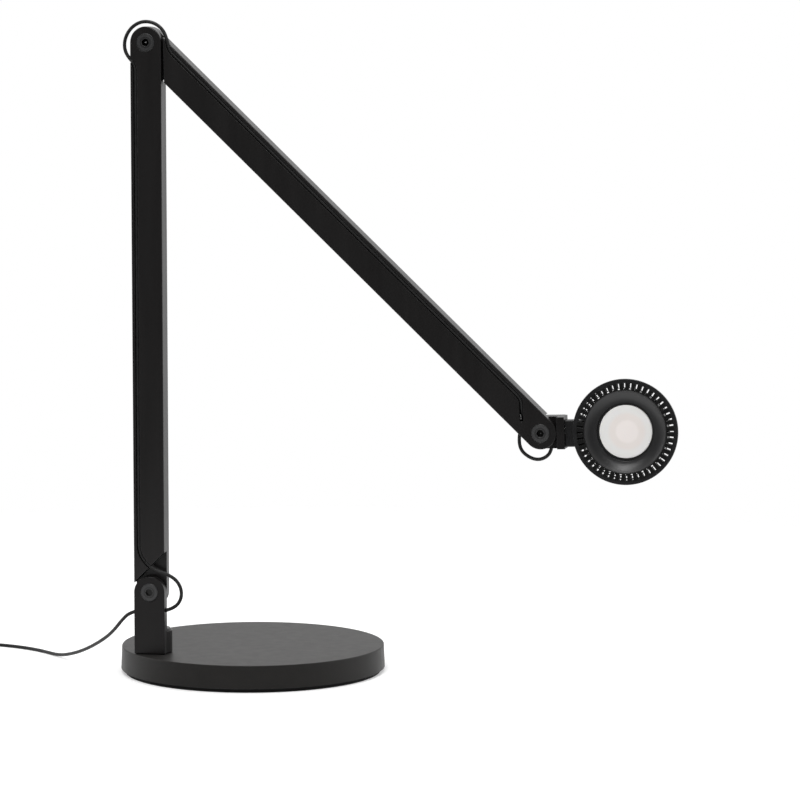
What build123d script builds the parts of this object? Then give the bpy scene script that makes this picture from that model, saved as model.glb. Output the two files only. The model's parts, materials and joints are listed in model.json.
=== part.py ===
from build123d import *
import math
import os

# Desk lamp with two flat arms, friction hinges, a weighted disc base and a slotted round head.
# Millimetres. Origin: centre of the base disc on the table. +X points from the post to the head,
# +Y away from the viewer, +Z up. Arms, brackets and head lie in planes parallel to XZ.

# base
base_radius = 115.6
base_height = 23.5
side_draft = 0.8
rim_round = 0.9
cover_wall = 4.5
cover_top = 3.0
pad_inset = 3.6
pad_height = 3.5
ballast_clearance = 0.5
ballast_screw_circle = 70.0
ballast_screw_count = 4
ballast_screw_radius = 2.0
ballast_head_height = 2.6
ballast_socket = 2.5
ballast_socket_depth = 1.5
boss_radius = 5.0
boss_length = 6.0
rim_margin = 0.2
post_angle = 221.17

# swivel under the post
hub_radius = 11.0
hub_length = 8.0
hub_clearance = 0.6
glide_outer = 13.0
glide_thickness = 1.0
glide_stand_off = 0.2
bolt_grip = 14.0
bolt_head_radius = 6.5
bolt_head_height = 5.0
bolt_socket = 5.0
bolt_socket_depth = 3.0

# arm bars: flat bars with a half lap at each end
arm_pitch = 471.0
arm_width = 27.0
arm_depth = 16.0
arm_edge = 0.5
lap_gap = 0.2
lap_reach = 15.3
upper_arm_turn = 133.7

# hinge hardware, the same at shoulder, elbow and wrist
shank_radius = 4.0
fit = 0.02
running_fit = 0.05
bush_wall = 1.0
screw_head_radius = 7.8
screw_head_height = 3.1
screw_head_proud = 0.5
screw_head_edge = 0.5
screw_end = 0.4
screw_recess_radius = 8.0
screw_socket = 6.0
socket_depth = 2.4
washer_outer = 10.0
washer_thickness = 1.0
nut_flats = 11.0
nut_height = 2.6
nut_pocket_radius = 7.4
nut_pocket_depth = 4.6
spring_outer = 7.0
spring_thickness = 0.9
spring_cone = 0.3

# stem bracket on the base
shoulder_height = 54.0
foot_radius = 15.6
foot_depth = 15.0
foot_height = 21.0
foot_round = 2.0
stem_foot_chamfer = 0.6

# wrist bracket
collar_start = 13.9
collar_end = 20.3
collar_depth = 22.5
wrist_pocket_depth = 7.5
wrist_corner = 3.0
wrist_tilt = 2.0
liner_wall = 1.0
spigot_radius = 7.0
spigot_length = 4.6
spigot_groove = 0.6
spigot_groove_width = 3.4
stud_radius = 6.0
stud_length = 14.0
stud_bore = 2.25
grub_radius = 1.5
grub_set_back = 0.6
tip_gap = 0.2
neck_gap = 0.3

# head
head_reach = 71.8
head_roll = 2.5
head_front = 12.25
ring_radius = 44.3
ring_thickness = 3.0
slot_count = 48
slot_inner = 35.4
slot_outer = 40.8
slot_width = 1.8
slot_phase = 0.0
core_radius = 34.8
core_bore = 31.6
core_length = 17.0
fin_reach = 36.2
fin_width = 1.4
hoop_inner = 40.0
hoop_outer = 41.2
hoop_length = 2.0
spoke_width = 1.6
neck_height = 22.4
neck_thickness = 16.0
neck_drop = 1.0
neck_edge = 0.8
funnel_radius = 34.5
funnel_lip = 0.9
funnel_throat = 24.6
funnel_depth = 4.0
funnel_seat = 33.5
web_thickness = 2.8
web_start = 3.2
board_radius = 30.0
board_thickness = 1.6
chip_radius = 5.5
chip_height = 0.8
holder_bore = 20.9
holder_wall = 1.5
holder_front = 5.9
diffuser_radius = 22.2
diffuser_wall = 1.2
diffuser_edge = 2.4
diffuser_dome = 0.9
reflector_wall = 0.8
cap_radius = 33.2
cap_thickness = 2.0
cap_round = 0.8
cap_screw_circle = 24.0
board_screw_circle = 26.5
small_screw_radius = 1.25
small_head_radius = 2.3
small_head_height = 1.4
small_slot_width = 0.6
small_slot_depth = 0.7
small_socket = 1.5
small_socket_depth = 0.9
head_screw_count = 3

# push button in the middle of the rear cap
switch_floor = 0.4
button_radius = 3.8
button_travel = 1.0
button_proud = 1.2
button_play = 0.1
tact_size = 4.8
tact_height = 2.5
tact_plunger = 1.0
tact_plunger_radius = 1.4
button_round = 0.5

# low voltage lead
lead_radius = 1.5
groove_width = 3.4
groove_depth = 3.4
groove_offset = 9.25
lead_hole_radius = 2.1

# put-away coil and plug-in adapter
coil_inner = 10.0
coil_pitch = 4.3
coil_step = 3.6
coil_layers = [3.25, 3.0, 3.0, 3.25]
relief_length = 22.0
relief_thin = 2.4
relief_thick = 4.0
adapter_length = 62.0
adapter_width = 34.0
adapter_height = 24.0
adapter_round = 3.0
pin_radius = 2.0
pin_length = 19.0
pin_spread = 18.6
pin_round = 1.2

# places that follow from the sizes above
half_width = arm_width / 2
corner_radius = base_radius - side_draft - rim_margin
post_x = corner_radius * math.cos(math.radians(post_angle)) + half_width
front_y = corner_radius * math.sin(math.radians(post_angle))
lap_y = front_y + arm_depth / 2
arm_rear_y = front_y + arm_depth
neck_y = front_y + collar_depth / 2
foot_y = front_y + foot_depth
cheek_face = lap_y - lap_gap / 2
lug_face = lap_y + lap_gap / 2
shoulder_z = base_height + shoulder_height
elbow_z = shoulder_z + arm_pitch
lap_cut = lap_reach * math.sqrt(2)
stem_bottom = base_height + glide_stand_off
lead_y = front_y + groove_depth - lead_radius - 0.1
bush_radius = shank_radius + bush_wall

SHOULDER = Pos(post_x, 0, shoulder_z)
ELBOW = Pos(post_x, 0, elbow_z) * Rot(0, upper_arm_turn, 0)
WRIST = ELBOW * Pos(0, 0, arm_pitch) * Rot(0, -wrist_tilt - upper_arm_turn, 0)
HEAD = WRIST * Pos(head_reach, neck_y, 0) * Rot(-90 - head_roll, 0, 0)


def slab(face, y_front, y_rear):
    """Extrude an outline drawn as (x, z) between two planes across Y."""
    return Pos(0, y_rear, 0) * Rot(90, 0, 0) * extrude(face, y_rear - y_front)


def rod(radius, y_front, y_rear):
    """Cylinder along Y."""
    return slab(Circle(radius), y_front, y_rear)


def ring(outer, inner, low, high):
    """Flat ring or tube about Z."""
    return extrude(Pos(0, 0, low) * (Circle(outer) - Circle(inner)), high - low)


def disc(radius, low, high):
    """Solid cylinder about Z."""
    return extrude(Pos(0, 0, low) * Circle(radius), high - low)


def turned(*outline):
    """Revolve an outline of (radius, z) points about Z."""
    return revolve(Plane.XZ * make_face(Polyline(*outline, close=True)), Axis.Z)


def hexagon(flats):
    """Hexagon by its width across flats."""
    return RegularPolygon(flats / 2, 6, major_radius=False)


def around(shape, count, start=0.0):
    """Copies of a shape spread evenly about Z."""
    return [Rot(0, 0, start + 360 * i / count) * shape for i in range(count)]


def corner_radii(points, limits=None):
    """Largest even arc at each inner point of a route: 0.45 of the shorter run beside it."""
    points = [Vector(p) for p in points]
    radii = []
    for i in range(1, len(points) - 1):
        before = points[i] - points[i - 1]
        after = points[i + 1] - points[i]
        half_turn = math.radians(before.get_angle(after)) / 2
        radius = 0.45 * min(before.length, after.length) / math.tan(half_turn)
        radii.append(min(radius, (limits or {}).get(i, radius)))
    return radii


def tube_along(points, radii, radius):
    """Round tube along straight runs joined by tangent arcs."""
    path = FilletPolyline(*points, radius=radii) if radii else Line(*points)
    section = Plane(origin=path @ 0, z_dir=path % 0) * Circle(radius)
    return sweep(section, path=path), path.length


def cut_route(points, radii, cuts):
    """Split a route in the middle of the named runs; each piece keeps its corner radii."""
    points = [Vector(p) for p in points]
    pieces = []
    start = points[0]
    first = 1
    for run in list(cuts) + [len(points) - 1]:
        last = run == len(points) - 1
        end = points[-1] if last else (points[run] + points[run + 1]) * 0.5
        inner = points[first:run] if last else points[first:run + 1]
        pieces.append(([start] + inner + [end], radii[first - 1:first - 1 + len(inner)]))
        start = end
        first = run + 1
    return pieces


def in_frame(frame, x, y, z):
    """World position of a point given in a piece's own frame."""
    return (frame * Pos(x, y, z)).position


def export(name, shape):
    """Write the file of a named piece."""
    shape.label = name
    export_step(shape, f"parts/{name}.step")


def group(shapes):
    """Separate solids that share one node."""
    return Compound(children=[s.solid() if not isinstance(s, Solid) else s for s in shapes])


# ---------------------------------------------------------------- base

swivel_at = Pos(post_x, foot_y, 0)
inner_wall = base_radius - cover_wall
ceiling = base_height - cover_top


def make_base_cover():
    """Drafted disc shell with a hub for the swivel and bosses for the ballast screws."""
    top_radius = base_radius - side_draft
    shell = turned(
        (0, base_height), (top_radius, base_height), (base_radius, pad_height),
        (inner_wall, pad_height), (inner_wall, ceiling), (0, ceiling),
    )
    rim = shell.edges().filter_by(GeomType.CIRCLE).filter_by_position(Axis.Z, base_height, base_height)
    shell = fillet(rim, rim_round)
    shell += swivel_at * disc(hub_radius, ceiling - hub_length, ceiling)
    shell -= swivel_at * disc(bush_radius + fit, 0, base_height)
    boss = Pos(ballast_screw_circle, 0, 0) * disc(boss_radius, ceiling - boss_length, ceiling)
    hole = Pos(ballast_screw_circle, 0, 0) * disc(ballast_screw_radius + fit, 0, ceiling)
    for one in around(boss, ballast_screw_count, 45):
        shell += one
    for one in around(hole, ballast_screw_count, 45):
        shell -= one
    return shell


screw_seat = pad_height + 4.0


def make_ballast_plate():
    """Iron disc that fills the cover, cut away round the hub and under the screw bosses."""
    plate = disc(inner_wall - ballast_clearance, pad_height, ceiling)
    plate -= swivel_at * disc(hub_radius + hub_clearance, 0, ceiling)
    pocket = disc(boss_radius + 0.3, ceiling - boss_length - 0.3, ceiling)
    pocket += disc(ballast_screw_radius + 0.3, 0, ceiling)
    pocket += disc(2 * ballast_screw_radius + 0.3, 0, screw_seat)
    for one in around(Pos(ballast_screw_circle, 0, 0) * pocket, ballast_screw_count, 45):
        plate -= one
    return plate


def make_ballast_screw():
    """Pan head screw, driven from below."""
    shank = disc(ballast_screw_radius, screw_seat, ceiling - 0.5)
    under = screw_seat - ballast_head_height
    head = disc(2 * ballast_screw_radius, under, screw_seat)
    socket = extrude(Pos(0, 0, under) * hexagon(ballast_socket), ballast_socket_depth)
    return Pos(ballast_screw_circle, 0, 0) * (shank + head - socket)


bolt_seat = ceiling - hub_length - spring_thickness - spring_cone


def make_swivel_bolt():
    """Socket bolt that holds the post to the base from below."""
    shank = disc(shank_radius, bolt_seat, stem_bottom + bolt_grip)
    under = bolt_seat - bolt_head_height
    head = disc(bolt_head_radius, under, bolt_seat)
    socket = extrude(Pos(0, 0, under) * hexagon(bolt_socket), bolt_socket_depth)
    return swivel_at * (shank + head - socket)


def make_swivel_bush():
    """Bush pressed into the hub, from its lower end to the base's top."""
    return swivel_at * ring(bush_radius, shank_radius + running_fit, ceiling - hub_length, base_height)


def make_glide_ring():
    """Slippery ring on the base, let into the foot of the stem bracket."""
    return swivel_at * ring(glide_outer, bush_radius + 0.4, base_height, base_height + glide_thickness)


def cone_spring(seat, bore):
    """Disc spring standing on a face at z = seat."""
    return turned(
        (bore, seat + spring_cone), (spring_outer, seat),
        (spring_outer, seat + spring_thickness), (bore, seat + spring_cone + spring_thickness),
    )


# ---------------------------------------------------------------- hinges

def hinge_screw(nut_y):
    """Flat head screw: proud head in front, shank through both halves, ends at the nut."""
    head_y = front_y - screw_head_proud
    head = rod(screw_head_radius, head_y, head_y + screw_head_height)
    rim = head.edges().filter_by_position(Axis.Y, head_y, head_y)
    head = chamfer(rim, screw_head_edge)
    shank = rod(shank_radius, head_y + screw_head_height, nut_y + nut_height + screw_end)
    socket = slab(hexagon(screw_socket), head_y, head_y + socket_depth)
    return head + shank - socket


def hinge_washer():
    """Friction washer, let into the cheek's inner face."""
    return (rod(washer_outer, lug_face - washer_thickness, lug_face)
            - rod(shank_radius + running_fit, lug_face - washer_thickness, lug_face))


def hinge_bush(floor_y):
    """Plain bush pressed into the lug."""
    return rod(bush_radius, lug_face, floor_y) - rod(shank_radius + running_fit, lug_face, floor_y)


def hinge_spring(floor_y):
    """Disc spring between the lug and the nut."""
    return Pos(0, floor_y, 0) * Rot(-90, 0, 0) * cone_spring(0, shank_radius + 0.1)


def hinge_nut(nut_y):
    """Hexagon nut that sets the hinge friction."""
    nut = slab(hexagon(nut_flats), nut_y, nut_y + nut_height)
    return nut - rod(shank_radius + fit, nut_y, nut_y + nut_height)


def cheek_cuts():
    """Head recess, washer recess and screw bore of a front cheek."""
    cuts = rod(screw_recess_radius, front_y - 1, front_y - screw_head_proud + screw_head_height)
    cuts += rod(shank_radius + fit, front_y, cheek_face)
    return cuts + rod(washer_outer + 0.1, lug_face - washer_thickness, cheek_face + 0.1)


def lug_cuts(rear_y, pocket):
    """Bush bore and nut pocket of a rear lug."""
    return rod(bush_radius + fit, lug_face - 0.1, rear_y) + rod(nut_pocket_radius, rear_y - pocket, rear_y)


spring_height = spring_thickness + spring_cone


def hinge_set(name, frame, rear_y, pocket):
    """The five pieces of one friction hinge."""
    floor_y = rear_y - pocket
    nut_y = floor_y + spring_height
    export(f"{name}_screw", frame * hinge_screw(nut_y))
    export(f"{name}_washer", frame * hinge_washer())
    export(f"{name}_bush", frame * hinge_bush(floor_y))
    export(f"{name}_spring", frame * hinge_spring(floor_y))
    export(f"{name}_nut", frame * hinge_nut(nut_y))


# ---------------------------------------------------------------- lead route

stem_lead_y = lead_y + 2.2
mouth_z = -17.4
exit_run = 7.2
elbow_at = Pos(post_x, 0, elbow_z)
wrist_at = WRIST * Rot(0, wrist_tilt, 0)
behind_cheek = neck_y + 0.4
lug_hole_x = 9.5
spigot_x = collar_end - spigot_length
lead_end_x = head_reach - funnel_throat + 0.6

stem_hole_points = [(-half_width, stem_lead_y, mouth_z), (6.0, stem_lead_y, mouth_z)]
shoulder_loop_points = [
    (20.5, stem_lead_y, -13.9), (28.4, stem_lead_y - 0.5, -6.0), (28.6, lead_y + 1.0, 5.2),
    (20.8, lead_y + 0.4, 14.6), (1.0, lead_y, 20.6), (-groove_offset, lead_y, 33.8),
]
elbow_loop_points = [
    (-groove_offset, lead_y, -19.0), (-18.6, lead_y, -9.5), (-19.9, lead_y + 0.3, 1.5),
    (-14.6, lead_y + 0.5, 12.6), (-4.5, lead_y + 0.6, 18.9), (7.0, lead_y + 0.5, 18.0),
    (15.6, lead_y + 0.3, 11.0), (18.9, lead_y, 1.3),
]
upper_groove_points = [
    (-groove_offset, lead_y, 20.0), (-groove_offset, lead_y, arm_pitch - 31.7),
    (-3.0, lead_y + 0.4, arm_pitch - 25.1), (5.0, lead_y + 8.2, arm_pitch - 17.3),
]
wrist_loop_points = [
    (-20.2, behind_cheek, -3.0), (-19.6, behind_cheek, -15.2), (-12.0, behind_cheek, -22.2),
    (-3.5, behind_cheek, -24.8), (4.0, behind_cheek, -22.0), (8.3, behind_cheek, -16.2),
]
wrist_lead_points = [(lug_hole_x, neck_y, 0), (lead_end_x, neck_y, 0)]

held_points = [in_frame(SHOULDER, *p) for p in stem_hole_points + shoulder_loop_points]
held_points += [in_frame(elbow_at, *p) for p in elbow_loop_points]
held_points += [in_frame(ELBOW, *p) for p in upper_groove_points]
held_points += [in_frame(wrist_at, *p) for p in wrist_loop_points]
held_points += [in_frame(WRIST, *p) for p in wrist_lead_points]
lug_corner = len(held_points) - 2
held_radii = corner_radii(held_points, {lug_corner: spigot_x - lug_hole_x - 0.4})

right_mouth = len(stem_hole_points) - 1
groove_start = len(stem_hole_points + shoulder_loop_points) - 2
groove_end = groove_start + 1
upper_start = groove_end + len(elbow_loop_points)
dive = upper_start + len(upper_groove_points)
lug_entry = lug_corner - 1
held_names = [
    "stem_lead", "shoulder_loop", "lower_arm_lead", "elbow_loop", "upper_arm_lead", "wrist_loop",
    "wrist_lead", "neck_lead",
]
held_cuts = [right_mouth, groove_start, groove_end + 1, upper_start, dive, lug_entry, lug_corner]
held_pieces = dict(zip(held_names, cut_route(held_points, held_radii, held_cuts)))


def held_channel(name, radius):
    """Room for one stretch of the held lead."""
    points, radii = held_pieces[name]
    return tube_along(points, radii, radius)[0]


# ---------------------------------------------------------------- arms and brackets

def arm_blank():
    """Flat bar with a rear lug at its lower pivot and a front cheek at its upper pivot."""
    low_left = (-half_width, lap_cut - half_width)
    low_right = (half_width, lap_cut + half_width)
    high_right = (half_width, arm_pitch - lap_cut - half_width)
    high_left = (-half_width, arm_pitch - lap_cut + half_width)
    body = make_face(Polyline(low_left, low_right, high_right, high_left, close=True))
    top_left = (-half_width, arm_pitch)
    top_right = (half_width, arm_pitch)
    cheek = make_face(Polyline(low_left, low_right, top_right, top_left, close=True))
    cheek += Pos(0, arm_pitch) * Circle(half_width)
    lug = make_face(Polyline((-half_width, 0), (half_width, 0), high_right, high_left, close=True))
    lug += Circle(half_width)
    blank = slab(body, front_y, arm_rear_y)
    blank += slab(cheek, front_y, cheek_face)
    blank += slab(lug, lug_face, arm_rear_y)
    outline = blank.edges().filter_by_position(Axis.Y, front_y - 0.01, front_y + 0.01)
    outline += blank.edges().filter_by_position(Axis.Y, arm_rear_y - 0.01, arm_rear_y + 0.01)
    blank = chamfer(outline, arm_edge)
    blank -= Pos(0, 0, arm_pitch) * cheek_cuts()
    return blank - lug_cuts(arm_rear_y, nut_pocket_depth)


def groove(points, radii, depth):
    """Slot of the lead's width along a route in the arm's front face."""
    flat = [(p[0], p[2]) for p in points]
    path = FilletPolyline(*flat, radius=radii) if radii else Line(*flat)
    return slab(trace(path, line_width=groove_width), front_y - 1, front_y + depth)


def along(start, end, share):
    """Point part of the way between two route points."""
    return tuple(a + (b - a) * share for a, b in zip(start, end))


def make_lower_arm():
    """Arm with its groove from the lower lap cut to the left edge under the elbow."""
    shift = (0, 0, arm_pitch)
    leave = [tuple(a + b for a, b in zip(p, shift)) for p in elbow_loop_points[:2]]
    points = shoulder_loop_points[-3:] + leave
    radii = held_radii[groove_start - 1:groove_end + 1]
    return SHOULDER * (arm_blank() - groove(points, radii, groove_depth))


def make_upper_arm():
    """Arm with its groove from the upper edge to the slot behind the wrist cheek."""
    back = ELBOW.inverse() * elbow_at
    last = tuple(in_frame(back, *elbow_loop_points[-1]))
    near, far, slot_a, slot_b = upper_groove_points
    slot_end = along(slot_a, slot_b, 0.74)
    points = [along(near, last, 1.6), near, far, slot_end]
    radii = [held_radii[upper_start], held_radii[upper_start + 1]]
    arm = arm_blank() - groove(points, radii, groove_depth)
    arm -= groove([along(slot_a, slot_b, 0.2), slot_end], None, arm_depth / 2)
    arm -= Pos(slot_end[0], 0, slot_end[2]) * rod(groove_width / 2, front_y, lap_y)
    arm = ELBOW * arm
    return arm - held_channel("upper_arm_lead", groove_width / 2)


def make_stem_bracket():
    """Post foot: front cheek with the shoulder pivot and a round swivel foot behind it."""
    low = stem_bottom - shoulder_z
    cheek = Pos(0, low / 2) * Rectangle(arm_width, -low) + Circle(half_width)
    bracket = slab(cheek, front_y, cheek_face)
    behind = Pos(0, cheek_face - 1 + foot_radius) * Rectangle(2 * foot_radius + 2, 2 * foot_radius)
    plan = (Pos(0, foot_y) * Circle(foot_radius)) & behind
    foot = extrude(Pos(0, 0, low) * plan, foot_height)
    rim = foot.edges().filter_by(GeomType.CIRCLE).sort_by(Axis.Z)[-1:]
    bracket += chamfer(rim, foot_round)
    bracket = chamfer(bracket.faces().sort_by(Axis.Z)[0].edges(), stem_foot_chamfer)
    bracket -= cheek_cuts()
    swivel = Pos(0, foot_y, low)
    bracket -= swivel * disc(shank_radius + fit, 0, bolt_grip + 1)
    bracket -= swivel * disc(glide_outer + 0.1, 0, glide_thickness - glide_stand_off)
    bracket = SHOULDER * bracket - held_channel("stem_lead", lead_hole_radius)
    return bracket - held_channel("shoulder_loop", lead_hole_radius)


def make_wrist_bracket():
    """Rear lug with the wrist pivot, widening to a collar that holds the neck."""
    rear_y = front_y + collar_depth
    lug = Pos(collar_end / 2, 0) * Rectangle(collar_end, arm_width) + Circle(half_width)
    collar = Pos((collar_start + collar_end) / 2, 0) * Rectangle(collar_end - collar_start, arm_width)
    bracket = slab(lug, lug_face, rear_y) + slab(collar, front_y, rear_y)
    corner = bracket.edges().filter_by(Axis.Z).sort_by(Axis.Y)[-1:]
    bracket = chamfer(corner, wrist_corner)
    bracket -= lug_cuts(rear_y, wrist_pocket_depth)
    along_neck = Pos(0, neck_y, 0) * Rot(0, 90, 0)
    bracket -= along_neck * disc(spigot_radius + running_fit + liner_wall + fit, spigot_x, collar_end)
    bracket -= Pos(grub_x, neck_y, 0) * disc(grub_radius + fit, -half_width, 0)
    bracket = WRIST * bracket
    bracket -= held_channel("wrist_loop", lead_hole_radius)
    return bracket - held_channel("wrist_lead", lead_hole_radius)


grub_x = collar_end - spigot_length / 2


def make_neck_liner():
    """Bearing liner of the neck in the collar, with a hole for the grub screw."""
    bore = spigot_radius + running_fit
    liner = Rot(0, 90, 0) * ring(bore + liner_wall, bore, spigot_x, collar_end)
    liner -= Pos(grub_x, 0, 0) * disc(grub_radius + 0.1, -half_width, 0)
    return WRIST * Pos(0, neck_y, 0) * liner


def make_neck_grub_screw():
    """Grub screw whose tip runs in the spigot's groove and keeps the neck in."""
    outer_end = -half_width + grub_set_back
    tip = -(spigot_radius - spigot_groove) - tip_gap
    screw = disc(grub_radius, outer_end, tip)
    socket = extrude(Pos(0, 0, outer_end) * hexagon(small_socket), small_socket_depth)
    return WRIST * Pos(grub_x, neck_y, 0) * (screw - socket)


def make_neck_stud():
    """Hollow stud: grooved spigot in the collar, plain end pressed into the neck of the head."""
    half_groove = spigot_groove_width / 2
    groove_low = grub_x - half_groove
    groove_high = grub_x + half_groove
    floor = spigot_radius - spigot_groove
    stud = turned(
        (stud_bore, spigot_x + 0.1), (spigot_radius, spigot_x + 0.1),
        (spigot_radius, groove_low), (floor, groove_low),
        (floor, groove_high), (spigot_radius, groove_high), (spigot_radius, collar_end + neck_gap),
        (stud_radius, collar_end + neck_gap), (stud_radius, collar_end + neck_gap + stud_length),
        (stud_bore, collar_end + neck_gap + stud_length),
    )
    return WRIST * Pos(0, neck_y, 0) * Rot(0, 90, 0) * stud


# ---------------------------------------------------------------- head
# Head pieces are made about Z: z grows from the front face towards the rear, x points away
# from the neck, and angles are counted as the viewer sees them, so they are mirrored here.

plate_rear = ring_thickness - head_front
core_rear = plate_rear + core_length
web_rear = web_start + web_thickness


def make_heat_sink():
    """Slotted front ring, finned core, open rear hoop and neck in one casting."""
    plate = ring(ring_radius, funnel_seat, -head_front, plate_rear)
    plate = chamfer(plate.edges().filter_by(GeomType.CIRCLE).sort_by(SortBy.RADIUS)[-2:], 0.4)
    slot_length = slot_outer - slot_inner
    cutter = Pos(slot_inner + slot_length / 2, 0, -head_front) * Rectangle(slot_length, slot_width)
    plate -= around(extrude(cutter, ring_thickness), slot_count, slot_phase)
    plate -= disc(funnel_radius + 0.1, -head_front, -head_front + funnel_lip + 0.1)
    core = ring(core_radius, core_bore, plate_rear, core_rear)
    core += disc(core_bore + 0.5, web_start, web_rear)
    hoop = ring(hoop_outer, hoop_inner, core_rear - hoop_length, core_rear)
    spoke_length = hoop_inner - core_radius + 1.2
    spoke = Pos(core_radius - 0.6 + spoke_length / 2, 0, core_rear - hoop_length)
    hoop += extrude(spoke * Rectangle(spoke_length, spoke_width), hoop_length)
    neck_end = head_reach - collar_end - neck_gap
    neck_length = neck_end - core_radius + 2
    neck = Pos(neck_length / 2 - neck_end, neck_drop, 0) * Box(neck_length, neck_height, neck_thickness)
    neck = chamfer(neck.edges().filter_by(Axis.X), neck_edge)
    sink = plate + core + hoop + neck
    fin_length = fin_reach - core_radius + 0.6
    fin = Pos(fin_reach - fin_length / 2, 0, plate_rear) * Rectangle(fin_length, fin_width)
    fin = extrude(fin, core_length)
    step = 2 * 360 / slot_count
    for i in range(slot_count // 2):
        angle = slot_phase + i * step
        if abs(angle - 180) > neck_half_angle:
            sink += Rot(0, 0, angle) * fin
    sink -= disc(core_bore, plate_rear, web_start)
    sink -= disc(core_bore, web_rear, core_rear)
    sink -= Rot(0, -90, 0) * disc(stud_radius + fit, neck_end - stud_length, neck_end)
    sink -= Rot(0, -90, 0) * disc(stud_bore, core_bore - 1, neck_end)
    sink -= disc(button_radius + button_play, tact_floor, web_rear)
    screw_hole = disc(small_screw_radius + fit, web_start, web_rear)
    for one in around(Pos(board_screw_circle, 0, 0) * screw_hole, head_screw_count):
        sink -= one
    cap_hole = disc(small_screw_radius + fit, web_start + 0.6, web_rear)
    for one in around(Pos(cap_screw_circle, 0, 0) * cap_hole, head_screw_count, 60):
        sink -= one
    return sink


neck_half_angle = math.degrees(math.asin((neck_height / 2 + neck_drop + fin_width) / core_radius))
tact_floor = web_start + switch_floor


def make_bezel_funnel():
    """Concave ring between the slotted plate and the light, resting on the core's end."""
    front = -head_front
    throat_z = front + funnel_depth
    bowl = ThreePointArc(
        (funnel_throat, throat_z), (funnel_throat + 5.2, throat_z - 1.2), (funnel_radius - 0.5, front),
    )
    rest = Polyline(
        (funnel_radius - 0.5, front), (funnel_radius, front), (funnel_radius, front + funnel_lip),
        (funnel_seat - 0.1, front + funnel_lip), (funnel_seat - 0.1, plate_rear),
        (core_bore - 0.2, plate_rear), (funnel_throat + 0.9, throat_z + 0.7),
        (funnel_throat, throat_z + 0.7), (funnel_throat, throat_z),
    )
    return revolve(Plane.XZ * make_face(Wire(bowl.edges() + rest.edges())), Axis.Z)


def make_lens_holder():
    """Dark carrier that centres the diffuser in front of the board."""
    outer = core_bore - 0.2
    tube = holder_bore + holder_wall
    seat = web_start - board_thickness
    return turned(
        (holder_bore, -holder_front), (outer, -holder_front), (outer, -holder_front + holder_wall),
        (tube, -holder_front + holder_wall), (tube, seat), (holder_bore, seat),
    )


def make_reflector():
    """Conical reflector round the emitter."""
    seat = web_start - board_thickness
    wide = holder_bore - 0.2
    narrow = chip_radius + 0.5
    return turned(
        (wide - reflector_wall, -holder_front), (wide, -holder_front),
        (narrow + reflector_wall, seat), (narrow, seat),
    )


def make_diffuser():
    """Slightly domed cap lens."""
    edge = -holder_front - diffuser_edge
    rim = diffuser_radius - diffuser_wall
    under = edge + diffuser_wall
    top = ThreePointArc((-diffuser_radius, edge), (0, edge - diffuser_dome), (diffuser_radius, edge))
    face = make_face(Wire(top.edges() + Polyline(
        (diffuser_radius, edge), (diffuser_radius, -holder_front), (rim, -holder_front), (rim, under),
        (-rim, under), (-rim, -holder_front), (-diffuser_radius, -holder_front), (-diffuser_radius, edge),
    ).edges()))
    half = face & (Pos(diffuser_radius, 0) * Rectangle(2 * diffuser_radius, 8 * diffuser_radius))
    return revolve(Plane.XZ * half, Axis.Z)


def make_led_board():
    """Round board with its emitter, holed for the screws."""
    seat = web_start - board_thickness
    board = disc(board_radius, seat, web_start) + disc(chip_radius, seat - chip_height, seat)
    hole = disc(small_screw_radius + 0.2, seat, web_start)
    for one in around(Pos(board_screw_circle, 0, 0) * hole, head_screw_count):
        board -= one
    return board


def make_board_screw():
    """Small pan head screw that clamps the board to the web."""
    seat = web_start - board_thickness
    top = seat - small_head_height
    screw = disc(small_head_radius, top, seat) + disc(small_screw_radius, seat, web_rear - 0.2)
    slot = Rectangle(2 * small_head_radius + 1, small_slot_width)
    screw -= extrude(Pos(0, 0, top) * slot, small_slot_depth)
    return Pos(board_screw_circle, 0, 0) * screw


def make_rear_cap():
    """Cap that plugs the core's rear end and covers its rim."""
    top = core_rear + cap_thickness
    cap = disc(cap_radius, core_rear, top)
    cap = fillet(cap.edges().filter_by_position(Axis.Z, top, top), cap_round)
    cap += disc(core_bore - 0.1, web_rear, core_rear)
    cap -= disc(button_radius + button_play, web_rear, top)
    screw_room = Pos(cap_screw_circle, 0, 0) * screw_cone(running_fit, web_rear, top)
    for one in around(screw_room, head_screw_count, 60):
        cap -= one
    return cap


def screw_cone(room, low, top):
    """Countersunk screw shape with room all round."""
    head = small_head_radius + room
    shank = small_screw_radius + room
    return turned((0, low), (shank, low), (shank, top - head + shank), (head, top), (0, top))


def make_cap_screw():
    """Countersunk screw from the cap into the web."""
    top = core_rear + cap_thickness
    screw = screw_cone(0, web_start + 0.8, top)
    screw -= extrude(Pos(0, 0, top - small_socket_depth) * hexagon(small_socket), small_socket_depth)
    return Pos(cap_screw_circle, 0, 0) * screw


def make_tact_switch():
    """Small square switch with its plunger, on the floor of the web's pocket."""
    body = extrude(Pos(0, 0, tact_floor) * Rectangle(tact_size, tact_size), tact_height)
    top = tact_floor + tact_height
    return body + disc(tact_plunger_radius, top, top + tact_plunger)


def make_switch_button():
    """Round push button in the middle of the rear cap."""
    bottom = tact_floor + tact_height + tact_plunger + button_travel + button_play
    top = core_rear + cap_thickness + button_proud
    button = disc(button_radius, bottom, top)
    return fillet(button.edges().filter_by_position(Axis.Z, top, top), button_round)


# ---------------------------------------------------------------- free lead, coil and adapter

floor_lead_z = lead_radius + 0.1
coil_outer = coil_inner + coil_pitch * coil_layers[0]
coil_entry_x = -288.0
coil_entry_y = 68.0
coil_x = coil_entry_x
coil_y = coil_entry_y - coil_outer
coil_end = 2 * lead_radius
tail_z = floor_lead_z + coil_step * (len(coil_layers) - 1)
relief_x = -362.0
relief_y = 62.0
relief_z = 8.0

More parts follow.
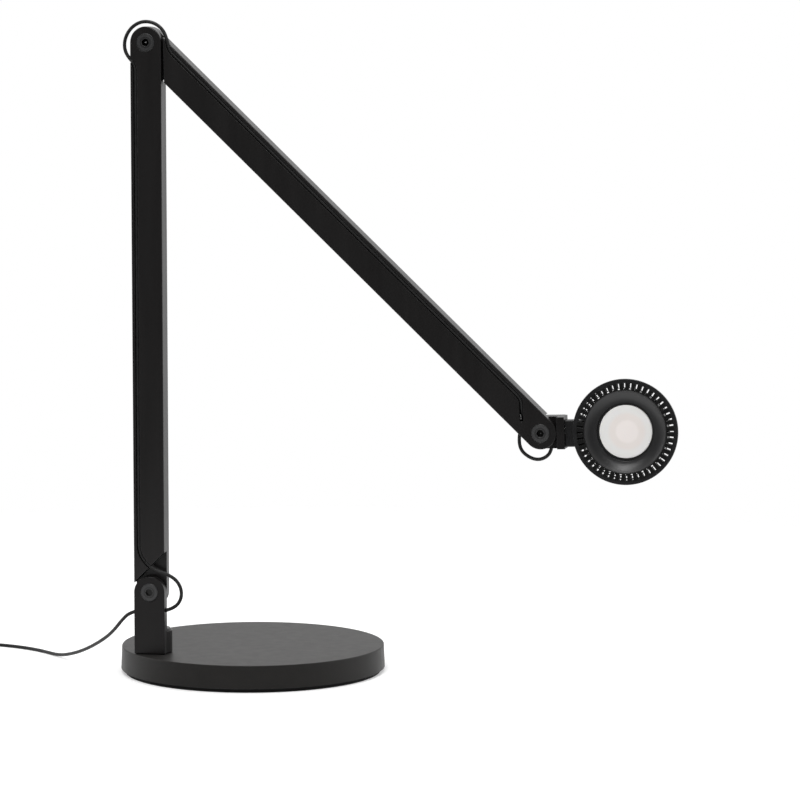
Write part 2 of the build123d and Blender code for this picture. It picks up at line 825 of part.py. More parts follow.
exit_point = held_points[0]
exit_heading = (held_points[0] - held_points[1]).normalized()
free_points = [
    tuple(exit_point), tuple(exit_point + exit_heading * exit_run), (-100.0, -68.6, 55.8),
    (-107.5, -60.5, 46.2), (-117.5, -48.5, 36.0), (-130.5, -34.5, 26.3),
    (-146.0, -17.5, 17.0), (-163.5, 1.2, 8.6), (-185.0, 23.5, floor_lead_z),
    (-210.0, 46.5, floor_lead_z), (-236.0, 61.0, floor_lead_z), (-261.0, coil_entry_y, floor_lead_z),
    (coil_entry_x + coil_end, coil_entry_y, floor_lead_z),
]
tail_points = [
    (coil_entry_x - coil_end, coil_entry_y, tail_z), (-302.0, coil_entry_y, tail_z), (-317.0, 66.5, 6.6),
    (-334.0, 63.5, 5.2), (-350.5, relief_y, relief_z), (relief_x, relief_y, relief_z),
]


def biarc(start, start_dir, end, end_dir):
    """Two tangent arcs that join two points with given directions."""
    span = end - start
    total = start_dir + end_dir
    spread = 2 * (1 - start_dir.dot(end_dir))
    reach = (math.sqrt(span.dot(total) ** 2 + spread * span.dot(span)) - span.dot(total)) / spread
    near = start + start_dir * reach
    far = end - end_dir * reach
    middle = (near + far) * 0.5
    mid_dir = (far - near).normalized()
    return [Edge.make_tangent_arc(start, start_dir, middle), Edge.make_tangent_arc(middle, mid_dir, end)]


def coil_stations():
    """Places and directions along the coil: in, up, out, up, in, up, out."""
    stations = []
    turn = 0.25
    radius = coil_outer
    height = floor_lead_z

    def note(slope=0.0):
        angle = 2 * math.pi * turn
        place = Vector(coil_x + radius * math.cos(angle), coil_y + radius * math.sin(angle), height)
        heading = Vector(-math.sin(angle), math.cos(angle), slope).normalized()
        stations.append((place, heading))

    note()
    for layer, turns in enumerate(coil_layers):
        rate = -coil_pitch if layer % 2 == 0 else coil_pitch
        left = turns
        while left > 0:
            step = min(0.5, left)
            turn += step
            radius += rate * step
            left -= step
            note()
        if layer < len(coil_layers) - 1:
            turn += 0.25
            height += coil_step / 2
            note(coil_step / 2 / radius)
            turn += 0.25
            height += coil_step / 2
            note()
    return stations


def coil_wire():
    """The coil's centre line, with a straight end at each side."""
    stations = coil_stations()
    first, heading = stations[0]
    edges = [Edge.make_line(first - heading * coil_end, first)]
    for (start, start_dir), (end, end_dir) in zip(stations, stations[1:]):
        edges += biarc(start, start_dir, end, end_dir)
    last, heading = stations[-1]
    edges.append(Edge.make_line(last, last + heading * coil_end))
    return Wire(edges), edges


def least_gap(edges):
    """Smallest clear space between turns, measured on points along the centre line."""
    points = []
    travelled = 0.0
    for edge in edges:
        count = max(2, int(edge.length / 2.0))
        points += [(travelled + edge.length * i / count, edge @ (i / count)) for i in range(count)]
        travelled += edge.length
    apart = 2 * math.pi * coil_inner * 0.6
    return min(
        (b - a).length
        for i, (s, a) in enumerate(points)
        for t, b in points[i + 1:]
        if t - s > apart
    ) - 2 * lead_radius


def make_adapter_case():
    """Plug-in supply that lies on the table."""
    centre = relief_x - relief_length - adapter_length / 2
    case = Pos(centre, relief_y, adapter_height / 2) * Box(adapter_length, adapter_width, adapter_height)
    return fillet(case.edges(), adapter_round)


def make_adapter_relief():
    """Tapered bend relief of the lead at the adapter."""
    relief = turned((0, 0), (relief_thin, 0), (relief_thick, relief_length), (0, relief_length))
    return Pos(relief_x, relief_y, relief_z) * Rot(0, -90, 0) * relief


def make_adapter_pin(side):
    """Round contact pin with a rounded tip."""
    pin = disc(pin_radius, 0, pin_length)
    pin = fillet(pin.edges().filter_by_position(Axis.Z, pin_length, pin_length), pin_round)
    x = relief_x - relief_length - adapter_length
    return Pos(x, relief_y + side * pin_spread / 2, adapter_height / 2) * Rot(0, -90, 0) * pin


# ---------------------------------------------------------------- build

os.makedirs("parts", exist_ok=True)

export("base_cover", make_base_cover())
export("ballast_plate", make_ballast_plate())
export("foot_pad", disc(base_radius - pad_inset, 0, pad_height))
export("ballast_screws", group(around(make_ballast_screw(), ballast_screw_count, 45)))
export("swivel_bush", make_swivel_bush())
export("swivel_bolt", make_swivel_bolt())
export("swivel_spring", swivel_at * cone_spring(bolt_seat, shank_radius + 0.1))
export("glide_ring", make_glide_ring())

export("stem_bracket", make_stem_bracket())
hinge_set("shoulder", SHOULDER, arm_rear_y, nut_pocket_depth)
export("lower_arm", make_lower_arm())
hinge_set("elbow", ELBOW, arm_rear_y, nut_pocket_depth)
export("upper_arm", make_upper_arm())
hinge_set("wrist", WRIST, front_y + collar_depth, wrist_pocket_depth)
export("wrist_bracket", make_wrist_bracket())
export("neck_liner", make_neck_liner())
export("neck_grub_screw", make_neck_grub_screw())
export("neck_stud", make_neck_stud())

export("heat_sink", HEAD * make_heat_sink())
export("bezel_funnel", HEAD * make_bezel_funnel())
export("lens_holder", HEAD * make_lens_holder())
export("reflector", HEAD * make_reflector())
export("diffuser", HEAD * make_diffuser())
export("led_board", HEAD * make_led_board())
export("board_screws", HEAD * group(around(make_board_screw(), head_screw_count)))
export("rear_cap", HEAD * make_rear_cap())
export("cap_screws", HEAD * group(around(make_cap_screw(), head_screw_count, 60)))
export("tact_switch", HEAD * make_tact_switch())
export("switch_button", HEAD * make_switch_button())

for name, (points, radii) in held_pieces.items():
    solid, length = tube_along(points, radii, lead_radius)
    print(name, "length", round(length, 1), "radii", [round(r, 1) for r in radii])
    print("  volume over section x length", round(solid.volume / (math.pi * lead_radius**2 * length), 4))
    export(name, solid)

free_radii = corner_radii(free_points)
tail_radii = corner_radii(tail_points)
drop, floor_run = cut_route(free_points, free_radii, [len(free_points) - 5])
total = 0.0
for name, (points, radii) in {
    "lead_drop": drop, "lead_floor": floor_run, "lead_tail": (tail_points, tail_radii),
}.items():
    solid, length = tube_along(points, radii, lead_radius)
    total += length
    print(name, "length", round(length, 1), "radii", [round(r, 1) for r in radii])
    print("  volume over section x length", round(solid.volume / (math.pi * lead_radius**2 * length), 4))
    export(name, solid)

wire, edges = coil_wire()
coil = sweep(Plane(origin=wire @ 0, z_dir=wire % 0) * Circle(lead_radius), path=wire)
total += wire.length
print("coil length", round(wire.length, 1), "least gap", round(least_gap(edges), 3))
print("  volume over section x length", round(coil.volume / (math.pi * lead_radius**2 * wire.length), 4))
print("free lead in all", round(total, 1))
export("lead_coil", coil)
export("adapter_relief", make_adapter_relief())
export("adapter_case", make_adapter_case())
export("adapter_pins", group([make_adapter_pin(-1), make_adapter_pin(1)]))
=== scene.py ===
import json
import math

import bmesh
import bpy
from mathutils import Matrix, Vector


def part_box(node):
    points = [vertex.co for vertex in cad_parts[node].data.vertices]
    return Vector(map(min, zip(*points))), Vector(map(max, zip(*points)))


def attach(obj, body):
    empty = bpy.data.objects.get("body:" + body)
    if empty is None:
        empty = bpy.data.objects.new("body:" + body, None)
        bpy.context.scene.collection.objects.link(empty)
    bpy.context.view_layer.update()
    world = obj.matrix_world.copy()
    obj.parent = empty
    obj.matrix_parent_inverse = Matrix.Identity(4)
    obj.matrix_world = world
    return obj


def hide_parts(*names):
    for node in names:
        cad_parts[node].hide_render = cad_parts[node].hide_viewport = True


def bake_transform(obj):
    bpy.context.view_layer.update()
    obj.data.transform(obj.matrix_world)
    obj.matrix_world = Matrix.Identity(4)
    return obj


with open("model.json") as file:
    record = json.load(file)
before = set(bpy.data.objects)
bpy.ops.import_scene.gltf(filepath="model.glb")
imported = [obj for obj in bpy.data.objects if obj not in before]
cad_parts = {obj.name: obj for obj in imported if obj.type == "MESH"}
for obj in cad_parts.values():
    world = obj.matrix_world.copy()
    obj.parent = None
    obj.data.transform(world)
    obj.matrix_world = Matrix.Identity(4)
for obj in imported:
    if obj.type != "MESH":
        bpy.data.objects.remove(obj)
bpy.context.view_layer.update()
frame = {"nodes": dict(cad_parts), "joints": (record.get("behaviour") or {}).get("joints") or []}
nodes = frame["nodes"]
print("frame loaded,", len(nodes), "nodes")

# camera, on the right of the lamp and a little above its middle

view = {"place": (0.7734, -3.0186, 0.5573), "yaw": 12.0, "pitch": 5.855, "lens": 161.5, "sensor": 36.0}


def addCamera(v):
    data = bpy.data.cameras.new("camera")
    data.lens = v["lens"]
    data.sensor_width = v["sensor"]
    data.clip_start = 0.1
    data.clip_end = 30.0
    cam = bpy.data.objects.new("camera", data)
    cam.location = v["place"]
    cam.rotation_euler = (math.radians(90 - v["pitch"]), 0, math.radians(v["yaw"]))
    bpy.context.scene.collection.objects.link(cam)
    bpy.context.scene.camera = cam


addCamera(view)
print("camera placed")

# the low voltage lead: one sheath from the adapter to the head

lead = {"radius": 0.0015, "length": 1.795, "sides": 6}
jointPlace = {j["name"]: Vector(j["pos_m"]) for j in frame["joints"]}
lapY = jointPlace["shoulder"].y
shoulder, elbow, wrist = (jointPlace[n] - Vector((0, lapY, 0)) for n in ("shoulder", "elbow", "wrist"))
tilt = {"upper": 133.7, "neck": -2.0, "face": -92.5}  # in degrees; face is the head about its neck
upperTurn = Matrix.Rotation(math.radians(tilt["upper"]), 3, "Y")
neckTurn = Matrix.Rotation(math.radians(tilt["neck"]), 3, "Y")

# depths at which the lead runs: in the arms, in the post's foot, at the wrist and in the neck

grooveY = -0.073641
stemY = -0.071441
cheekY = -0.063791
neckY = -0.064191

freeRoute = [  # from the post's foot down to the table
    (-0.086266, stemY, 0.0601), (-0.0924, -0.0714, 0.0582), (-0.0990, -0.0690, 0.0520),
    (-0.1070, -0.0610, 0.0435), (-0.1175, -0.0485, 0.0342), (-0.1305, -0.0345, 0.0255),
    (-0.1460, -0.0175, 0.0166), (-0.1635, 0.0012, 0.0085), (-0.1850, 0.0235, 0.0016),
    (-0.2100, 0.0465, 0.0016), (-0.2360, 0.0610, 0.0016), (-0.2610, 0.0680, 0.0016),
    (-0.2850, 0.0680, 0.0016),
]
tailRoute = [  # from the top of the coil to the adapter
    (-0.3020, 0.0680, 0.0124), (-0.3170, 0.0665, 0.0066), (-0.3340, 0.0635, 0.0052),
    (-0.3505, 0.0620, 0.0080), (-0.3620, 0.0620, 0.0080),
]
coil = {
    "x": -0.288, "y": 0.044025, "outer": 0.023975, "pitch": 0.0043, "step": 0.0036,
    "layers": (3.25, 3.0, 3.0, 3.25), "perTurn": 16, "startTurn": 0.25, "height": 0.0016,
}


def coilTurns(c):
    # spirals in and out, and climbs in the half turn between two layers
    count = c["perTurn"]
    swell = 1 / math.cos(math.pi / count)
    turn = c["startTurn"]
    radius = c["outer"]
    height = c["height"]
    points = []

    def lay():
        a = 2 * math.pi * turn
        far = swell * radius
        points.append((c["x"] + far * math.cos(a), c["y"] + far * math.sin(a), height))

    for layer, turns in enumerate(c["layers"]):
        rate = c["pitch"] * (1 if layer % 2 else -1)
        for _ in range(round(turns * count)):
            turn += 1 / count
            radius += rate / count
            lay()
        if layer < len(c["layers"]) - 1:
            for _ in range(count // 2):
                turn += 1 / count
                height += c["step"] / (count // 2)
                lay()
    return points


def about(pivot, turn, *points):
    return [pivot + turn @ Vector(p) for p in points]


level = Matrix.Identity(3)
heldRoute = about(
    shoulder, level,
    (-0.0135, stemY, -0.0174), (0.0060, stemY, -0.0174), (0.0205, stemY, -0.0139),
    (0.0277, stemY - 0.0005, -0.0060), (0.0279, grooveY + 0.0010, 0.0052),
    (0.0204, grooveY + 0.0004, 0.0146), (0.0010, grooveY, 0.0206), (-0.00925, grooveY, 0.0338),
    (-0.00925, grooveY, 0.0505),
)
heldRoute += about(
    elbow, level,
    (-0.00925, grooveY, -0.0323), (-0.00925, grooveY, -0.0190), (-0.0182, grooveY, -0.0094),
    (-0.0193, grooveY + 0.0003, 0.0014), (-0.0141, grooveY + 0.0005, 0.0118),
    (-0.0045, grooveY + 0.0006, 0.0179), (0.0068, grooveY + 0.0005, 0.0171),
    (0.0154, grooveY + 0.0003, 0.0106), (0.0189, grooveY, 0.0013),
)
heldRoute += about(
    elbow, upperTurn,
    (-0.00925, grooveY, 0.0200), (-0.00925, grooveY, 0.0286), (-0.00925, grooveY, 0.4302),
    (-0.00925, grooveY, 0.4393), (-0.0030, grooveY + 0.0004, 0.4459), (0.0050, grooveY + 0.0082, 0.4537),
)
heldRoute += about(
    wrist, level,
    (-0.0202, cheekY, -0.0030), (-0.0193, cheekY, -0.0148), (-0.0122, cheekY, -0.0213),
    (-0.0040, cheekY, -0.0238), (0.0032, cheekY, -0.0213), (0.0076, cheekY, -0.0158),
)
heldRoute += about(
    wrist, neckTurn, (0.0095, neckY, 0.0), (0.0258, neckY, 0.0), (0.0478, neckY, 0.0),
)
heldCuts = [1, 6, 10, 17, 23, 29]  # the runs in whose middle one stretch ends and the next begins
neckCut = wrist + neckTurn @ Vector((0.02865, neckY, 0.0))


def splineCurve(name, points):
    data = bpy.data.curves.new(name, "CURVE")
    data.dimensions = "3D"
    data.resolution_u = 8
    spline = data.splines.new("NURBS")
    spline.points.add(len(points) - 1)
    for point, place in zip(spline.points, points):
        point.co = (*place, 1.0)
    spline.order_u = 3
    spline.use_endpoint_u = True
    obj = bpy.data.objects.new(name, data)
    bpy.context.scene.collection.objects.link(obj)
    return obj


def centreLine(points):
    # the smooth line of a route, read from a curve without thickness
    curve = splineCurve("route", points)
    bpy.context.view_layer.update()
    mesh = bpy.data.meshes.new_from_object(curve)
    path = [v.co.copy() for v in mesh.vertices]
    bpy.data.objects.remove(curve)
    bpy.data.meshes.remove(mesh)
    return path


def tubeAlong(name, path, radius, sides):
    data = bpy.data.curves.new(name, "CURVE")
    data.dimensions = "3D"
    data.bevel_depth = radius
    data.bevel_resolution = sides
    data.use_fill_caps = True
    spline = data.splines.new("POLY")
    spline.points.add(len(path) - 1)
    for point, place in zip(spline.points, path):
        point.co = (*place, 1.0)
    curve = bpy.data.objects.new(name + "Line", data)
    bpy.context.scene.collection.objects.link(curve)
    bpy.context.view_layer.update()
    mesh = bpy.data.meshes.new_from_object(curve)
    bpy.data.objects.remove(curve)
    bm = bmesh.new()
    bm.from_mesh(mesh)
    bmesh.ops.remove_doubles(bm, verts=bm.verts, dist=1e-6)
    bmesh.ops.recalc_face_normals(bm, faces=bm.faces)
    return pieceFrom(name, bm)


def pieceFrom(name, bm, smooth=True):
    mesh = bpy.data.meshes.new(name)
    bm.to_mesh(mesh)
    bm.free()
    for face in mesh.polygons:
        face.use_smooth = smooth
    obj = bpy.data.objects.new(name, mesh)
    bpy.context.scene.collection.objects.link(obj)
    return obj


freePath = centreLine(freeRoute + coilTurns(coil) + tailRoute)
freeLead = tubeAlong("freeLead", freePath, lead["radius"], lead["sides"])
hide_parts("lead_drop", "lead_floor", "lead_coil", "lead_tail")
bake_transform(freeLead)

stretches = [  # name, CAD node, what carries it, where the bend begins and ends
    ("stemLead", "stem_lead", "stem", None),
    ("shoulderLoop", "shoulder_loop", "stem lower", ((-0.059, stemY, 0.0605), (-0.079, grooveY, 0.1070))),
    ("lowerArmLead", "lower_arm_lead", "lower", None),
    ("elbowLoop", "elbow_loop", "lower upper", ((-0.0865, grooveY, 0.5335), (-0.0535, grooveY, 0.5480))),
    ("upperArmLead", "upper_arm_lead", "upper", None),
    ("wristLoop", "wrist_loop", "upper wrist", ((0.2485, cheekY, 0.2165), (0.2570, cheekY, 0.2020))),
    ("wristLead", "wrist_lead", "wrist", None),
    ("neckLead", "neck_lead", "head", None),
]


def splitPath(path, places):
    parts, start = [], 0
    for place in places:
        end = min(range(start, len(path)), key=lambda i: (path[i] - place).length)
        parts.append(path[start:end + 1])
        start = end
    parts.append(path[start:])
    return parts


cutPlaces = [(heldRoute[i] + heldRoute[i + 1]) / 2 for i in heldCuts] + [neckCut]
heldTubes = {}
for (name, node, carrier, bend), path in zip(stretches, splitPath(centreLine(heldRoute), cutPlaces)):
    tube = tubeAlong(name, path, lead["radius"], lead["sides"])
    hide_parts(node)
    if bend:
        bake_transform(tube)
    else:
        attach(tube, carrier)
    heldTubes[name] = tube
print("lead laid,", len(heldTubes) + 1, "stretches")

# bend relief at the adapter: a soft tapered sleeve with rings

relief = {
    "x": -0.362, "y": 0.062, "z": 0.008, "length": 0.022, "thin": 0.0024, "thick": 0.0040, "rings": 6,
    "groove": 0.0007, "lip": 0.0003, "rim": 0.0001, "sides": 32,
}


def reliefSleeve(r):
    bm = bmesh.new()
    pitch = r["length"] / r["rings"]
    outline = [(0.0, 0.0), (r["thin"] - r["lip"], 0.0)]
    for i in range(r["rings"]):
        for share, sink in ((0.08, 0.0), (0.62, 0.0), (0.70, r["groove"]), (0.97, r["groove"])):
            x = (i + share) * pitch
            wide = r["thin"] + (r["thick"] - r["thin"]) * x / r["length"]
            outline.append((wide - sink, x))
    outline += [(r["thick"], r["length"] - r["rim"]), (r["thick"], r["length"]), (0.0, r["length"])]
    verts = [bm.verts.new((-x, 0.0, wide)) for wide, x in outline]
    edges = [bm.edges.new(pair) for pair in zip(verts, verts[1:])]
    bmesh.ops.spin(
        bm, geom=verts + edges, cent=(0, 0, 0), axis=(1, 0, 0), angle=2 * math.pi, steps=r["sides"],
        use_merge=True,
    )
    bmesh.ops.remove_doubles(bm, verts=bm.verts, dist=1e-6)
    bmesh.ops.recalc_face_normals(bm, faces=bm.faces)
    bmesh.ops.translate(bm, verts=bm.verts, vec=(r["x"], r["y"], r["z"]))
    return pieceFrom("reliefSleeve", bm, smooth=False)


sleeve = reliefSleeve(relief)
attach(sleeve, "base")
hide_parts("adapter_relief")
print("adapter dressed")

# second layer of the head's slotted ring, close behind the front one: its slots are narrower

headCentre = wrist + neckTurn @ Vector((0.0718, neckY, 0.0))
headTurn = Matrix.Rotation(math.radians(tilt["neck"]), 4, "Y")
headTurn = headTurn @ Matrix.Rotation(math.radians(tilt["face"]), 4, "X")
headPlace = Matrix.Translation(headCentre) @ headTurn  # head pieces are made about Z, rear upwards
backRing = {
    "radii": (0.03635, 0.03700, 0.04060, 0.04100), "count": 48, "slot": 0.00108,
    "front": -0.00920, "thick": 0.0016,
}


def slottedRing(r):
    bm = bmesh.new()
    pitch = 2 * math.pi / r["count"]
    half = r["slot"] / 2
    onward = Matrix.Rotation(pitch, 3, "Z")
    before = [bm.verts.new((radius, -half, r["front"])) for radius in r["radii"]]
    after = [bm.verts.new((radius, half, r["front"])) for radius in r["radii"]]
    following = [bm.verts.new(onward @ v.co) for v in before]
    for i in (0, 2):  # the rims pass a slot, inside and outside
        bm.faces.new((before[i], before[i + 1], after[i + 1], after[i]))
    for i in (0, 1, 2):  # the web up to the next slot
        bm.faces.new((after[i], after[i + 1], following[i + 1], following[i]))
    bmesh.ops.spin(
        bm, geom=bm.verts[:] + bm.edges[:] + bm.faces[:], cent=(0, 0, 0), axis=(0, 0, 1),
        angle=2 * math.pi - pitch, steps=r["count"] - 1, use_duplicate=True,
    )
    bmesh.ops.remove_doubles(bm, verts=bm.verts, dist=1e-6)
    walls = bmesh.ops.extrude_face_region(bm, geom=bm.faces[:], use_keep_orig=True)
    raised = [v for v in walls["geom"] if isinstance(v, bmesh.types.BMVert)]
    bmesh.ops.translate(bm, verts=raised, vec=(0, 0, r["thick"]))
    bmesh.ops.recalc_face_normals(bm, faces=bm.faces)
    bmesh.ops.transform(bm, matrix=headPlace, verts=bm.verts)
    return pieceFrom("rearSlotRing", bm, smooth=False)


slotRing = slottedRing(backRing)
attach(slotRing, "head")
print("slot ring made,", len(slotRing.data.polygons), "faces")

# diffuser: a smooth domed cap with a rounded edge

cap = {
    "radius": 0.0222, "edge": -0.0083, "dome": 0.0009, "round": 0.0006, "seat": -0.0059, "wall": 0.0012,
    "domeSteps": 10, "sides": 96,
}


def opalCap(c):
    inner = c["radius"] - c["wall"]
    flat = c["radius"] - c["round"]
    ceiling = c["edge"] + c["wall"]
    outline = []
    for i in range(c["domeSteps"] + 1):
        x = flat * i / c["domeSteps"]
        outline.append((x, c["edge"] - c["dome"] * (1 - (x / c["radius"]) ** 2)))
    low = outline[-1][1] + c["round"]
    for turn in (30, 60, 90):
        a = math.radians(turn)
        outline.append((flat + c["round"] * math.sin(a), low - c["round"] * math.cos(a)))
    outline += [(c["radius"], c["seat"]), (inner, c["seat"]), (inner, ceiling), (0.0, ceiling)]
    bm = bmesh.new()
    verts = [bm.verts.new((x, 0.0, z)) for x, z in outline]
    edges = [bm.edges.new(pair) for pair in zip(verts, verts[1:])]
    bmesh.ops.spin(
        bm, geom=verts + edges, cent=(0, 0, 0), axis=(0, 0, 1), angle=2 * math.pi, steps=c["sides"],
        use_merge=True,
    )
    bmesh.ops.remove_doubles(bm, verts=bm.verts, dist=1e-6)
    bmesh.ops.recalc_face_normals(bm, faces=bm.faces)
    bmesh.ops.transform(bm, matrix=headPlace, verts=bm.verts)
    obj = pieceFrom("opalCap", bm)
    obj.data.set_sharp_from_angle(angle=math.radians(40))
    return obj


diffuser = opalCap(cap)
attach(diffuser, "head")
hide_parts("diffuser")
print("diffuser made,", len(diffuser.data.polygons), "faces")

# shader groups


def newGroup(name, inputs, outputs):
    tree = bpy.data.node_groups.new(name, "ShaderNodeTree")
    for label, kind, value in inputs:
        socket = tree.interface.new_socket(label, in_out="INPUT", socket_type=kind)
        if value is not None:
            socket.default_value = value
    for label, kind in outputs:
        tree.interface.new_socket(label, in_out="OUTPUT", socket_type=kind)
    return tree, tree.nodes.new("NodeGroupInput").outputs, tree.nodes.new("NodeGroupOutput").inputs


def put(tree, kind, **values):
    node = tree.nodes.new(kind)
    for key, value in values.items():
        setattr(node, key, value)
    return node


def feed(tree, node, **links):
    # sockets by number, s0=..., or by name; a link or a plain value
    for key, value in links.items():
        socket = node.inputs[int(key[1:])] if key[0] == "s" and key[1:].isdigit() else node.inputs[key]
        if isinstance(value, bpy.types.NodeSocket):
            tree.links.new(value, socket)
        else:
            socket.default_value = value
    return node.outputs[0]


def sums(tree, operation, *values, clamp=False):
    node = put(tree, "ShaderNodeMath", operation=operation, use_clamp=clamp)
    return feed(tree, node, **{"s" + str(i): v for i, v in enumerate(values)})


def blendColours(tree, factor, first, second):
    node = put(tree, "ShaderNodeMix", data_type="RGBA")
    feed(tree, node, s0=factor, s6=first, s7=second)
    return node.outputs[2]


def spread(tree, value, low, high, start=0.0, end=1.0):
    node = put(tree, "ShaderNodeMapRange")
    return feed(tree, node, s0=value, s1=start, s2=end, s3=low, s4=high)


def makeGrain():
    # fine and coarse noise: a mask for colour and gloss, and a height
    tree, given, out = newGroup(
        "surfaceGrain",
        [
            ("Vector", "NodeSocketVector", None), ("Fine", "NodeSocketFloat", 2500.0),
            ("Coarse", "NodeSocketFloat", 40.0),
        ],
        [("Mask", "NodeSocketFloat"), ("Height", "NodeSocketFloat"), ("Clouds", "NodeSocketFloat")],
    )
    fine = put(tree, "ShaderNodeTexNoise")
    feed(tree, fine, Vector=given["Vector"], Scale=given["Fine"], Detail=3.0, Roughness=0.6)
    coarse = put(tree, "ShaderNodeTexNoise")
    feed(tree, coarse, Vector=given["Vector"], Scale=given["Coarse"], Detail=4.0, Roughness=0.55)
    fineShare = sums(tree, "MULTIPLY", fine.outputs[0], 0.55)
    both = sums(tree, "MULTIPLY_ADD", coarse.outputs[0], 0.45, fineShare)
    tree.links.new(spread(tree, both, 0.0, 1.0, 0.32, 0.68), out["Mask"])
    tree.links.new(fine.outputs[0], out["Height"])
    tree.links.new(spread(tree, coarse.outputs[0], 0.0, 1.0, 0.35, 0.65), out["Clouds"])
    return tree


def makeEdges():
    # rounded normal, and a broken mask where an edge is rubbed
    tree, given, out = newGroup(
        "rubbedEdges",
        [("Vector", "NodeSocketVector", None), ("Reach", "NodeSocketFloat", 0.0006)],
        [("Mask", "NodeSocketFloat"), ("Normal", "NodeSocketVector")],
    )
    bevel = put(tree, "ShaderNodeBevel", samples=6)
    feed(tree, bevel, Radius=given["Reach"])
    here = put(tree, "ShaderNodeNewGeometry")
    dot = put(tree, "ShaderNodeVectorMath", operation="DOT_PRODUCT")
    feed(tree, dot, s0=bevel.outputs[0], s1=here.outputs["Normal"])
    bent = spread(tree, dot.outputs["Value"], 1.0, 0.0, 0.80, 0.995)
    noise = put(tree, "ShaderNodeTexNoise")
    feed(tree, noise, Vector=given["Vector"], Scale=90.0, Detail=5.0, Roughness=0.7)
    patches = spread(tree, noise.outputs[0], 0.25, 1.0, 0.42, 0.62)
    tree.links.new(sums(tree, "MULTIPLY", bent, patches, clamp=True), out["Mask"])
    tree.links.new(bevel.outputs[0], out["Normal"])
    return tree


def makeDust():
    # thin dust on what faces up
    tree, given, out = newGroup(
        "settledDust",
        [("Vector", "NodeSocketVector", None), ("Amount", "NodeSocketFloat", 0.1)],
        [("Mask", "NodeSocketFloat")],
    )
    here = put(tree, "ShaderNodeNewGeometry")
    parts = put(tree, "ShaderNodeSeparateXYZ")
    feed(tree, parts, s0=here.outputs["Normal"])
    up = spread(tree, parts.outputs[2], 0.0, 1.0, 0.35, 0.95)
    noise = put(tree, "ShaderNodeTexNoise")
    feed(tree, noise, Vector=given["Vector"], Scale=140.0, Detail=6.0, Roughness=0.75)
    specks = spread(tree, noise.outputs[0], 0.35, 1.0, 0.40, 0.66)
    tree.links.new(sums(tree, "MULTIPLY", sums(tree, "MULTIPLY", up, specks), given["Amount"]), out["Mask"])
    return tree


def makeRings():
    # turning marks round the axis at the vector's origin, in its XZ plane
    tree, given, out = newGroup(
        "turnedRings",
        [("Vector", "NodeSocketVector", None), ("Pitch", "NodeSocketFloat", 0.0003)],
        [("Height", "NodeSocketFloat"), ("Distance", "NodeSocketFloat")],
    )
    flat = put(tree, "ShaderNodeVectorMath", operation="MULTIPLY")
    feed(tree, flat, s0=given["Vector"], s1=(1.0, 0.0, 1.0))
    far = put(tree, "ShaderNodeVectorMath", operation="LENGTH")
    feed(tree, far, s0=flat.outputs[0])
    noise = put(tree, "ShaderNodeTexNoise", noise_dimensions="1D")
    feed(tree, noise, W=sums(tree, "DIVIDE", far.outputs["Value"], given["Pitch"]), Scale=1.0, Detail=2.0)
    tree.links.new(noise.outputs[0], out["Height"])
    tree.links.new(far.outputs["Value"], out["Distance"])
    return tree


grainGroup = makeGrain()
edgeGroup = makeEdges()
dustGroup = makeDust()
ringGroup = makeRings()


def useGroup(tree, group, **links):
    node = put(tree, "ShaderNodeGroup", node_tree=group)
    feed(tree, node, **links)
    return node.outputs


def newMaterial(name):
    mat = bpy.data.materials.new(name)
    mat.use_nodes = True
    return mat, mat.node_tree, mat.node_tree.nodes["Principled BSDF"]


def placed(tree, move=(0, 0, 0), turn=(0, 0, 0), scale=(1, 1, 1)):
    coords = put(tree, "ShaderNodeTexCoord")
    mapping = put(tree, "ShaderNodeMapping")
    feed(tree, mapping, Vector=coords.outputs["Object"], Location=move, Rotation=turn, Scale=scale)
    return mapping.outputs[0]


def bandShade(tree, distance, bands):
    # painted shade: lighter and darker rings of a turned face and of the slotted zone, darkened towards a
    # shade colour; pairs of radius and tone
    ramp = put(tree, "ShaderNodeValToRGB")
    last = bands[-1][0]
    for _ in bands[2:]:
        ramp.color_ramp.elements.new(0.5)
    for element, (radius, tone) in zip(ramp.color_ramp.elements, bands):
        element.position = radius / last
        element.color = (tone, tone, tone, 1)
    feed(tree, ramp, s0=sums(tree, "DIVIDE", distance, last))
    return ramp.outputs[0]


def pitMasks(tree, distance, pit):
    # the inside of a screw's socket, for its painted shade, and the painted glint in its floor
    coords = put(tree, "ShaderNodeTexCoord")
    parts = put(tree, "ShaderNodeSeparateXYZ")
    feed(tree, parts, s0=coords.outputs["Object"])
    inside = spread(tree, parts.outputs[1], 0.0, 1.0, pit["mouth"], pit["mouth"] + pit["fall"])
    tip = spread(tree, distance, 1.0, 0.0, pit["tipCore"] * pit["tip"], pit["tip"])
    return inside, sums(tree, "MULTIPLY", tip, inside)


dustTone = (0.32, 0.31, 0.30)


